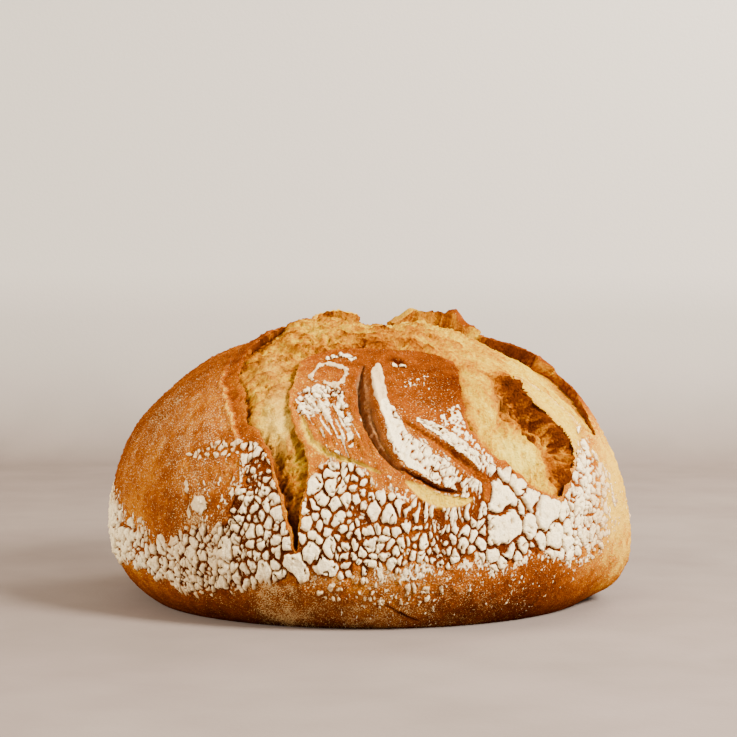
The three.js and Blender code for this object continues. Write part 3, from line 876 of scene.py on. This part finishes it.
def sheet_mesh(name, used, surface, fields, close_base):
    """The raster's used cells as a mesh that carries the fields as attributes."""
    quad = used[:-1, :-1] & used[:-1, 1:] & used[1:, 1:] & used[1:, :-1]
    rows, columns = np.nonzero(quad)
    first = rows * STEPS + columns
    quads = np.stack([first, first + 1, first + STEPS + 1, first + STEPS], 1)
    kept = np.unique(quads)
    numbers = np.zeros(STEPS * STEPS, int)
    numbers[kept] = np.arange(len(kept))
    quads = numbers[quads]
    vertices = surface.reshape(-1, 3)[kept] * MM
    triangles = np.concatenate([quads[:, [0, 1, 2]], quads[:, [0, 2, 3]]])
    if close_base:
        edges = np.concatenate([quads[:, [k, (k + 1) % 4]] for k in range(4)])
        keys = edges.min(1) * len(kept) + edges.max(1)
        _, index, uses = np.unique(keys, return_index=True, return_counts=True)
        border = edges[index[uses == 1]]
        middle = np.full(len(border), len(vertices))
        fan = np.column_stack([border[:, 1], border[:, 0], middle])
        vertices = np.vstack([vertices, [0, 0, 0]])
        triangles = np.concatenate([triangles, fan])
    obj = new_object(name, vertices, triangles)
    spare = np.zeros(len(vertices) - len(kept))
    add_fields(obj, {key: np.append(field.ravel()[kept], spare).astype(np.float32)
                     for key, field in fields.items()})
    return obj


def thin_out(obj, triangles):
    """Collapses edges until the mesh has at most this many triangles."""
    modifier = obj.modifiers.new("Decimate", "DECIMATE")
    modifier.ratio = min(1.0, triangles / len(obj.data.polygons))
    mesh = bpy.data.meshes.new_from_object(
        obj.evaluated_get(bpy.context.evaluated_depsgraph_get())
    )
    obj.modifiers.clear()
    old = obj.data
    obj.data = mesh
    bpy.data.meshes.remove(old)


def read_mesh(mesh):
    """The vertices, triangles and attributes of a thinned mesh, as arrays."""
    vertices = np.zeros(3 * len(mesh.vertices), np.float32)
    mesh.vertices.foreach_get("co", vertices)
    triangles = np.zeros(len(mesh.loops), np.int32)
    mesh.loops.foreach_get("vertex_index", triangles)
    fields = {}
    for attribute in mesh.attributes:
        if attribute.domain == "POINT" and attribute.data_type == "FLOAT":
            values = np.zeros(len(mesh.vertices), np.float32)
            attribute.data.foreach_get("value", values)
            fields[attribute.name] = values
    return vertices.reshape(-1, 3), triangles.reshape(-1, 3), fields


def part_of(name, vertices, triangles, fields, chosen):
    """A new object from the chosen triangles."""
    triangles = triangles[chosen]
    kept, numbers = np.unique(triangles, return_inverse=True)
    numbers = numbers.reshape(-1, 3)
    obj = new_object(name, vertices[kept], numbers)
    add_fields(obj, {key: values[kept] for key, values in fields.items()})
    obj.data.shade_smooth()
    return obj


def unwrap(obj):
    """A UV map from the map's own coordinates. The base is an island in a corner."""
    vertices, triangles, fields = read_mesh(obj.data)
    spread = 2 * max(np.abs(fields["map_u"]).max(), np.abs(fields["map_v"]).max())
    uv = np.stack([fields["map_u"], fields["map_v"]], 1)[triangles] / spread + 0.5
    flat = (vertices[triangles][:, :, 2] < 1e-6).all(1)
    place, scale = BASE_ISLAND
    uv[flat] = place + vertices[triangles][flat][:, :, :2] * scale
    layer = obj.data.uv_layers.new(name="OFBake")
    layer.data.foreach_set("uv", uv.astype(np.float32).ravel())


def crumb_toast_and_shade():
    """How browned the crumb is, from 0 where it's pale to 1 where it's dark, with painted shade in
    its pores and under the lips.
    """
    toast_and_shade = 0.36 + bells([
        (-18, 2, 16, 0.06), (14, -50, 16, 0.24), (-14, -50, 14, 0.14), (59, -61, 5, 0.7),
        (67, -68, 5, 0.30), (79, -74, 6, 0.40), (64, -76, 4, 0.3), (86, -83, 4, 0.5),
        (76, -84, 3.5, -0.35), (54, -74, 3, 0.25), (-36, -91, 7, -0.30), (60, -94, 10, -0.36),
        (28, 2, 12, -0.18), (74, -34, 16, -0.10), (46, -76, 10, 0.02), (62, -4, 6, 0.35),
        (87, -22, 6, 0.10), (-46, -78, 9, 0.1), (-46, -48, 8, 0.10), (-37, -108, 7, 0.14),
        (-34, -120, 8, 0.20), (57, -77, 5.5, 0.50), (66, -93, 7, -0.10), (78, -12, 4, -0.2),
        (18, -6, 13, -0.12), (67, -79, 4.5, 0.35),
    ])
    strands = 0.07 * BROAD_STRANDS + 0.07 * FINE_STRANDS
    toast_and_shade += strands * (1 - 0.5 * CALM) * (1 - 0.8 * HOLLOW) + 0.06 * noise(8, 20)
    toast_and_shade += HOLLOW * (0.10 * noise(3.0, 28) + 0.08 * noise(1.2, 29) - 0.08)
    # painted shade: small pores and pits are darkened
    toast_and_shade += 0.35 * np.clip((blur(height, 1.2) - height) / 0.5, 0, 0.5)
    toast_and_shade += 0.16 * np.clip((height - blur(height, 3.0)) / 0.8, -1.0, 1.5)
    # partly the browning of the crumb on the walls under the lips, partly painted shade under them;
    # less at some ears
    wall = smoothstep(5.0, 2.5, STATION) * np.clip(0.28 + 0.06 * EAR, 0, 0.45)
    wall *= 1 - patches([
        (48, 12, 5, 0.8), (80, -10, 4, 0.7), (-14, 9, 10, 0.95), (24, 17, 8, 0.75),
        (93, -28, 9, 0.6), (68, -4, 6, 0.3),
    ], 0.95)
    return np.clip(toast_and_shade + wall, 0, 1.3)


def crust_bake_light_and_shade():
    """How dark the crust is baked, from 0 where it's straw to 1 where it's nearly black, with
    painted light and shade mixed in.
    """
    bake_light_and_shade = 0.50 + bells([
        # the right side painted pale with the light that falls on it from behind, and the browned
        # left
        (132, -40, 30, -0.36), (112, -60, 20, -0.2), (114, -10, 22, -0.2), (-126, -70, 18, -0.12),
        (-96, -10, 30, 0.14), (-90, -110, 20, 0.05), (-100, -114, 22, 0.06),
        (-118, -118, 14, -0.10), (138, -84, 16, 0.16), (110, -100, 16, -0.08),
        # the front plate and the skin beside the groove
        (28, -72, 17, 0.30), (-14, -100, 10, 0.10), (-64, -70, 18, -0.06), (-6, -66, 10, 0.10),
        (-12, -84, 10, 0.10), (-20, -112, 12, -0.08),
        # the ears of the crown, the back and the heel
        (-16, 9, 9, -0.45), (29, 17, 9, 0.1), (64, 1, 8, 0.2), (90, -20, 9, 0.15),
        (0, 120, 40, 0.1), (70, -140, 24, 0.14), (104, -126, 18, 0.26), (16, -160, 24, -0.14),
    ])
    # darker towards the base, and more so round the base on the left
    bake_light_and_shade += 0.14 * smoothstep(146, 160, RHO) + 0.14 * smoothstep(160, 170, RHO)
    bake_light_and_shade += 0.16 * smoothstep(154, 168, RHO) * smoothstep(0.5, -0.5, np.cos(THETA))
    near_lip = np.exp(-np.abs(TEAR) / 4.0)
    bake_light_and_shade += near_lip * bells([
        (-50, -30, 15, 0.4), (8, -58, 16, 0.15), (37, -80, 14, 0.12), (31, 18, 9, 0.5),
        (64, 1, 10, 0.4), (92, -22, 12, 0.4),
    ])
    bake_light_and_shade += STEP * (0.12 * smoothstep(-3.9, -3.1, TEAR) + 0.3 * ridge(TEAR, -3.4, 0.4))
    bake_light_and_shade -= 0.4 * STEP * ridge(TEAR, -4.4, 0.3)
    bake_light_and_shade -= 0.12 * np.exp(-OUTSIDE / 1.2)
    bake_light_and_shade -= 0.10 * STRETCHED + 0.45 * crescent
    # painted light and shade in the slash: lighter on its raised strands, darker between them
    bake_light_and_shade += slash * (0.05 - 0.16 * np.clip((height - blur(height, 2.0)) / 0.5, -1, 1))
    # painted shade: the crust between the flour plates is darker
    bake_light_and_shade += 0.36 * cracked
    return np.clip(bake_light_and_shade, 0, 1)


# Where the crust is a thin skin of the crumb's colour: u, v, reach, how much
CRUMB_SKIN = [
    (70, -57, 5, 1.0), (78, -62, 5, 1.0), (85, -66, 4, 0.8), (-14, 13, 6, 0.8), (17, 19, 4, 0.7),
]


def crust_powder():
    """Loose flour on the crust, from 0 to 1."""
    near = blur(cover, 8.0)
    powder = 0.35 * smoothstep(0.05, 0.6, near) + bells([
        (24, -88, 7, 0.15), (-110, -50, 20, 0.20), (-56, -152, 14, 0.85), (0, -152, 22, 0.55),
        (-66, -86, 14, 0.32), (-84, -108, 14, 0.35), (-90, -40, 14, 0.3), (60, -150, 30, 0.25),
        (-76, -64, 16, 0.25), (-20, -84, 10, 0.15), (120, -60, 24, 0.12), (20, -80, 7, 0.12),
        (-60, 60, 40, 0.15), (60, 90, 40, 0.15),
    ])
    powder *= 1 - np.clip(2 * groove + 2 * slash + 2 * crack_and_shade + crescent + 1.2 * cover, 0, 1)
    powder = np.clip(powder, 0, 1) * smoothstep(0.3, -1.5, TEAR)
    powder *= 1 - STEP * smoothstep(-4.6, -3.8, TEAR)
    rim = patches([(71, -55, 6, 1.2), (81, -62, 6, 1.2), (88, -73, 6, 1.2)])
    return np.maximum(powder, rim * ridge(TEAR, -0.3, 0.7))


def painted_recess_shade():
    """How far each cell lies below what's around it, from 0 to 1, as painted shade for recesses,
    held off where they are lit.
    """
    recess_shade = np.clip((blur(height, 6.0) - height) / 4.0, 0, 1)
    lit = patches([(-14, 9, 12, 0.9), (26, 14, 12, 0.7), (92, -28, 11, 0.6), (66, -3, 9, 0.3)])
    return recess_shade * (1 - lit)


def make_loaf():
    """The crust with the base, and the crumb, split along the undersides of the lips."""
    fields = {
        "map_u": U, "map_v": V, "station": np.clip(STATION, -2, 8), "toast_and_shade": crumb_toast_and_shade(),
        "bake_light_and_shade": crust_bake_light_and_shade(), "powder": crust_powder(), "recess_shade": painted_recess_shade(),
        "groove": np.clip(groove * 1.4, 0, 1), "crack_and_shade": crack_and_shade,
        "pale": np.clip(crack_pale + crescent + bells(CRUMB_SKIN), 0, 1),
        "inner": INNER,
    }
    whole = sheet_mesh("whole", RHO < BASE_MAP_REACH, LOAF_SURFACE, fields, True)
    thin_out(whole, LOAF_TRIANGLES)
    vertices, triangles, fields = read_mesh(whole.data)
    bpy.data.objects.remove(whole)
    torn = fields.pop("station")[triangles].mean(1) > CRUMB_FROM
    crust = part_of("crust", vertices, triangles, fields, ~torn)
    return crust, part_of("crumb", vertices, triangles, fields, torn)


def make_flour(name, rise, edge, luck, dust):
    """A sheet of the flour that stands above the crust."""
    fields = {
        "map_u": U, "map_v": V, "edge": np.clip(edge, -1, 2), "luck": luck, "dust": dust,
    }
    surface = on_loaf(place_u, place_v, height + rise)
    sheet = sheet_mesh(name, rise > SUNK, surface, fields, False)
    thin_out(sheet, FLOUR_TRIANGLES)
    sheet.data.shade_smooth()
    return sheet


# ---------- Materials ----------
class Nodes:
    """A material's node tree, built a node at a time."""

    def __init__(self, name):
        self.material = bpy.data.materials.new(name)
        self.material.use_nodes = True
        self.tree = self.material.node_tree
        self.shader = self.tree.nodes["Principled BSDF"]
        self.place = self.add("ShaderNodeTexCoord").outputs["Object"]

    def set(self, socket, value):
        """Link the socket to another one, or set its colour or number."""
        if isinstance(value, bpy.types.NodeSocket):
            self.tree.links.new(value, socket)
        elif isinstance(value, tuple) and socket.type == "RGBA":
            socket.default_value = (*value, 1.0)
        else:
            socket.default_value = value

    def add(self, kind, inputs=None, **settings):
        """A new node, its settings made and its inputs set by their names or numbers."""
        made = self.tree.nodes.new(kind)
        for key, value in settings.items():
            setattr(made, key, value)
        for key, value in (inputs or {}).items():
            self.set(made.inputs[key], value)
        return made

    def attribute(self, name):
        return self.add("ShaderNodeAttribute", attribute_name=name).outputs["Fac"]

    def math(self, operation, a, b=0.0):
        return self.add("ShaderNodeMath", {0: a, 1: b}, operation=operation).outputs[0]

    def noise(self, size_mm, detail=3.0, low=0.0, high=1.0):
        """Noise with lumps of about size mm, spread from low to high."""
        inputs = {"Vector": self.place, "Scale": 1 / (size_mm * MM), "Detail": detail}
        made = self.add("ShaderNodeTexNoise", inputs)
        return self.range(made.outputs["Fac"], 0.3, 0.7, low, high)

    def range(self, value, low, high, to_low=0.0, to_high=1.0):
        """The value, with low to high stretched to another range and held within it."""
        inputs = dict(enumerate((value, low, high, to_low, to_high)))
        return self.add("ShaderNodeMapRange", inputs).outputs["Result"]

    def ramp(self, value, stops):
        made = self.add("ShaderNodeValToRGB", {"Fac": value})
        elements = made.color_ramp.elements
        while len(elements) < len(stops):
            elements.new(0.5)
        for element, (position, colour) in zip(elements, stops):
            element.position = position
            element.color = (*colour, 1.0)
        return made.outputs["Color"]

    def mix(self, share, a, b):
        return self.add("ShaderNodeMix", {0: share, 6: a, 7: b}, data_type="RGBA").outputs[2]

    def finish(self, colour, roughness, bump_height, bump_mm, specular):
        """The material, once its surface is linked up."""
        bump = self.add("ShaderNodeBump", {"Height": bump_height, "Distance": bump_mm * MM})
        for name, value in (
            ("Base Color", colour), ("Roughness", roughness), ("Specular IOR Level", specular),
            ("Normal", bump.outputs["Normal"]),
        ):
            self.set(self.shader.inputs[name], value)
        return self.material

    def open_from_behind(self):
        """Let a camera behind the surface look through it."""
        back = self.add("ShaderNodeNewGeometry").outputs["Backfacing"]
        front = self.shader.outputs["BSDF"]
        clear = self.add("ShaderNodeBsdfTransparent").outputs["BSDF"]
        both = self.add("ShaderNodeMixShader", {"Fac": back, 1: front, 2: clear})
        self.set(self.tree.nodes["Material Output"].inputs["Surface"], both.outputs["Shader"])


CRUMB_COLOURS = [
    (0.0, (0.68, 0.49, 0.060)), (0.3, (0.53, 0.305, 0.007)), (0.55, (0.39, 0.145, 0.002)),
    (0.8, (0.21, 0.050, 0.001)), (1.0, (0.085, 0.016, 0.001)),
]
INNER_COLOURS = [(0.0, (0.64, 0.39, 0.075)), (0.5, (0.49, 0.25, 0.03)), (1.0, (0.22, 0.08, 0.012))]
CRUST_COLOURS = [
    (0.0, (0.62, 0.35, 0.028)), (0.25, (0.36, 0.108, 0.004)), (0.5, (0.205, 0.042, 0.002)),
    (0.75, (0.112, 0.020, 0.001)), (1.0, (0.045, 0.006, 0.001)),
]
GROOVE_BEIGE = (0.40, 0.23, 0.10)
POWDER_TAN = (0.74, 0.47, 0.17)
FLOUR_WHITE = (1.0, 0.84, 0.52)
FLOUR_GREY = (0.82, 0.60, 0.29)
FLOUR_PITS = (0.42, 0.24, 0.09)
FLOUR_THIN = (0.52, 0.28, 0.08)
FLOUR_EDGE_SHADE = (0.22, 0.085, 0.02)
FLOOR_LIGHT = (0.218, 0.167, 0.136)
FLOOR_DARK = (0.185, 0.140, 0.113)
WALL_PALE = (0.575, 0.515, 0.44)


def crumb_material():
    """Torn crumb: straw where it's open, browner with toast and with painted shade in its recesses,
    beige where it's young.
    """
    m = Nodes("torn_crumb")
    toast_and_shade = m.math("ADD", m.attribute("toast_and_shade"), m.noise(1.2, 4, -0.16, 0.16))
    # painted shade: the crumb is darker in its recesses
    toast_and_shade = m.math("ADD", toast_and_shade, m.math("MULTIPLY", m.attribute("recess_shade"), 0.75))
    colour = m.ramp(toast_and_shade, CRUMB_COLOURS)
    inner = m.math("MULTIPLY", m.attribute("inner"), m.noise(3, 3, 0.5, 1.0))
    colour = m.mix(inner, colour, m.ramp(toast_and_shade, INNER_COLOURS))
    return m.finish(colour, m.noise(3, 2, 0.75, 0.9), m.noise(0.7, 5), 0.35, 0.0)


def crust_material():
    """Baked crust, with painted shade in its cracks and the beige groove, the thin pale skin and
    loose flour.
    """
    m = Nodes("baked_crust")
    bake_light_and_shade = m.math("ADD", m.attribute("bake_light_and_shade"), m.noise(4, 4, -0.10, 0.10))
    bake_light_and_shade = m.math("ADD", bake_light_and_shade, m.noise(16, 2, -0.09, 0.09))
    pimples = m.range(m.noise(0.75, 2), 0.5, 0.85)
    bake_light_and_shade = m.math("SUBTRACT", bake_light_and_shade, m.math("MULTIPLY", pimples, 0.22))
    # painted shade: darker in the depth of the cracks
    bake_light_and_shade = m.math("ADD", bake_light_and_shade, m.math("MULTIPLY", m.attribute("crack_and_shade"), 0.5))
    colour = m.ramp(bake_light_and_shade, CRUST_COLOURS)
    # painted shade: the groove is darker in its recesses
    shade = m.math("MULTIPLY", m.attribute("recess_shade"), 0.3)
    groove_tone = m.ramp(m.math("ADD", m.noise(1.5, 3, 0.62, 0.95), shade), CRUMB_COLOURS)
    groove_colour = m.mix(m.noise(2, 3, 0.2, 0.7), groove_tone, GROOVE_BEIGE)
    colour = m.mix(m.attribute("groove"), colour, groove_colour)
    pale_tone = m.noise(1.0, 3, 0.10, 0.36)
    colour = m.mix(m.attribute("pale"), colour, m.ramp(pale_tone, CRUMB_COLOURS))
    powder = m.math("MULTIPLY", m.attribute("powder"), m.noise(6, 3, 0.4, 1.6))
    above = m.math("SUBTRACT", m.noise(0.5, 2), m.range(powder, 0, 1, 0.92, 0.35))
    specks = m.range(above, 0.0, 0.15)
    film = m.math("MULTIPLY", m.range(powder, 0.2, 1.0), m.noise(5, 3, 0.0, 0.15))
    dusted = m.math("MAXIMUM", m.math("MULTIPLY", specks, 0.7), film)
    colour = m.mix(dusted, colour, POWDER_TAN)
    roughness = m.math("ADD", m.noise(2, 3, 0.42, 0.58), m.math("MULTIPLY", dusted, 0.35))
    return m.finish(colour, roughness, pimples, 0.22, 0.0)


def flour_material():
    """Baked flour: off-white and pitted, tan where it's thin, with painted shade browning its
    edges.
    """
    m = Nodes("baked_flour")
    thin = m.range(m.attribute("dust"), 0.45, 0.9, 0.6, 0.0)
    tone = m.math("ADD", m.noise(2.5, 4, 0.0, 0.5), m.math("MULTIPLY", m.attribute("luck"), 0.25))
    colour = m.mix(tone, FLOUR_WHITE, FLOUR_GREY)
    pits = m.range(m.noise(0.7, 2), 0.76, 0.92)
    colour = m.mix(m.math("MULTIPLY", pits, 0.5), colour, FLOUR_PITS)
    colour = m.mix(thin, colour, FLOUR_THIN)
    # painted shade: the plates' edges and sides darken towards brown
    rim = m.range(m.attribute("edge"), -0.02, 0.22, 0.85, 0.0)
    colour = m.mix(rim, colour, FLOUR_EDGE_SHADE)
    return m.finish(colour, m.noise(2, 2, 0.85, 0.97), m.noise(0.5, 4), 0.2, 0.0)


crust, crumb = make_loaf()
# the flour's tone is tanner over a wide patch at the front left and at the right
dust = cover - bells([(-84, -112, 34, 0.32), (118, -60, 22, 0.3), (-66, -90, 10, 0.2)])
flour = make_flour("flour", plate, plate_edge, plate_luck, dust)
grain_dust = np.full(U.shape, 0.75)
grains = make_flour("flour_grains", grain, grain_edge, noise(6, 73), grain_dust)
floury = flour_material()
for piece, material in (
    (crust, crust_material()), (crumb, crumb_material()), (flour, floury), (grains, floury)
):
    unwrap(piece)
    piece.data.materials.append(material)
    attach(piece, "root")
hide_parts("loaf")
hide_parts("loaf")

# ---------- Floor, wall, lights and camera ----------
ROOM_WARM = (1.0, 0.965, 0.90)
WINDOW_WARM = (1.0, 0.98, 0.95)
BACK_WARM = (1.0, 0.97, 0.93)
LEFT_WARM = (1.0, 0.90, 0.78)
FLOOR_HALF = 2.2
FLOOR_FRONT = -2.5
WALL_AT = 0.60
WALL_TOP = 2.4
CURVE = 0.09
CURVE_STEPS = 16


def studio():
    """A pale floor that curves up into a wall, which can't be seen from behind."""
    profile = [(FLOOR_FRONT, 0.0)]
    for k in range(CURVE_STEPS + 1):
        turn = math.pi / 2 * k / CURVE_STEPS
        profile.append((WALL_AT - CURVE + CURVE * math.sin(turn), CURVE - CURVE * math.cos(turn)))
    profile.append((WALL_AT, WALL_TOP))
    vertices = [(side * FLOOR_HALF, y, z) for y, z in profile for side in (-1, 1)]
    faces = [(k, k + 1, k + 3, k + 2) for k in range(0, len(vertices) - 2, 2)]
    floor = new_object("floor", vertices, faces)
    floor.data.shade_smooth()
    m = Nodes("pale_floor")
    pale = m.mix(m.noise(60, 3), FLOOR_LIGHT, FLOOR_DARK)
    up = m.range(m.add("ShaderNodeSeparateXYZ", {"Vector": m.place}).outputs["Z"], 0.0, 0.12)
    colour = m.mix(up, pale, WALL_PALE)
    m.finish(colour, m.noise(30, 2, 0.85, 0.95), m.noise(2), 0.05, 0.1)
    m.open_from_behind()
    floor.data.materials.append(m.material)


def area_light(name, place, aim, size, power, colour):
    """A round soft light, its size in metres and its power in watts."""
    light = bpy.data.lights.new(name, "AREA")
    light.shape = "DISK"
    light.size = size
    light.energy = power
    light.color = colour
    obj = bpy.data.objects.new(name, light)
    obj.location = place
    obj.rotation_euler = (Vector(aim) - Vector(place)).to_track_quat("-Z", "Y").to_euler()
    bpy.context.scene.collection.objects.link(obj)


def room_light(strength):
    """Soft, slightly warm light from all around."""
    world = bpy.data.worlds.new("soft_room")
    world.use_nodes = True
    background = world.node_tree.nodes["Background"]
    background.inputs["Color"].default_value = (*ROOM_WARM, 1)
    background.inputs["Strength"].default_value = strength
    bpy.context.scene.world = world


CAMERA_DISTANCE = 900.0
CAMERA_ELEVATION = 6.6
CAMERA_AIM = (0.0, 0.0, 90.5)
SENSOR = 36.0
LENS_PIXELS = 2237.0  # the lens's focal length, in pixels of the picture
PICTURE = 737


def make_camera():
    """A camera that sees the loaf as the photograph does."""
    data = bpy.data.cameras.new("camera")
    data.sensor_width = SENSOR
    data.lens = SENSOR * LENS_PIXELS / PICTURE
    data.clip_start = 0.05
    camera = bpy.data.objects.new("camera", data)
    tilt = math.radians(CAMERA_ELEVATION)
    place = Vector((0, -CAMERA_DISTANCE * math.cos(tilt), WAIST + CAMERA_DISTANCE * math.sin(tilt)))
    camera.location = place * MM
    camera.rotation_euler = (Vector(CAMERA_AIM) - place).to_track_quat("-Z", "Y").to_euler()
    bpy.context.scene.collection.objects.link(camera)
    bpy.context.scene.camera = camera


studio()
room_light(0.9)
area_light("window", (0.62, -0.56, 0.60), (0, 0, 0.06), 0.30, 40, WINDOW_WARM)
area_light("back_right", (0.45, 0.42, 0.55), (0, 0, 0.09), 0.4, 8, BACK_WARM)
area_light("left", (-0.80, -0.30, 0.40), (0, 0, 0.06), 0.5, 12, LEFT_WARM)
make_camera()
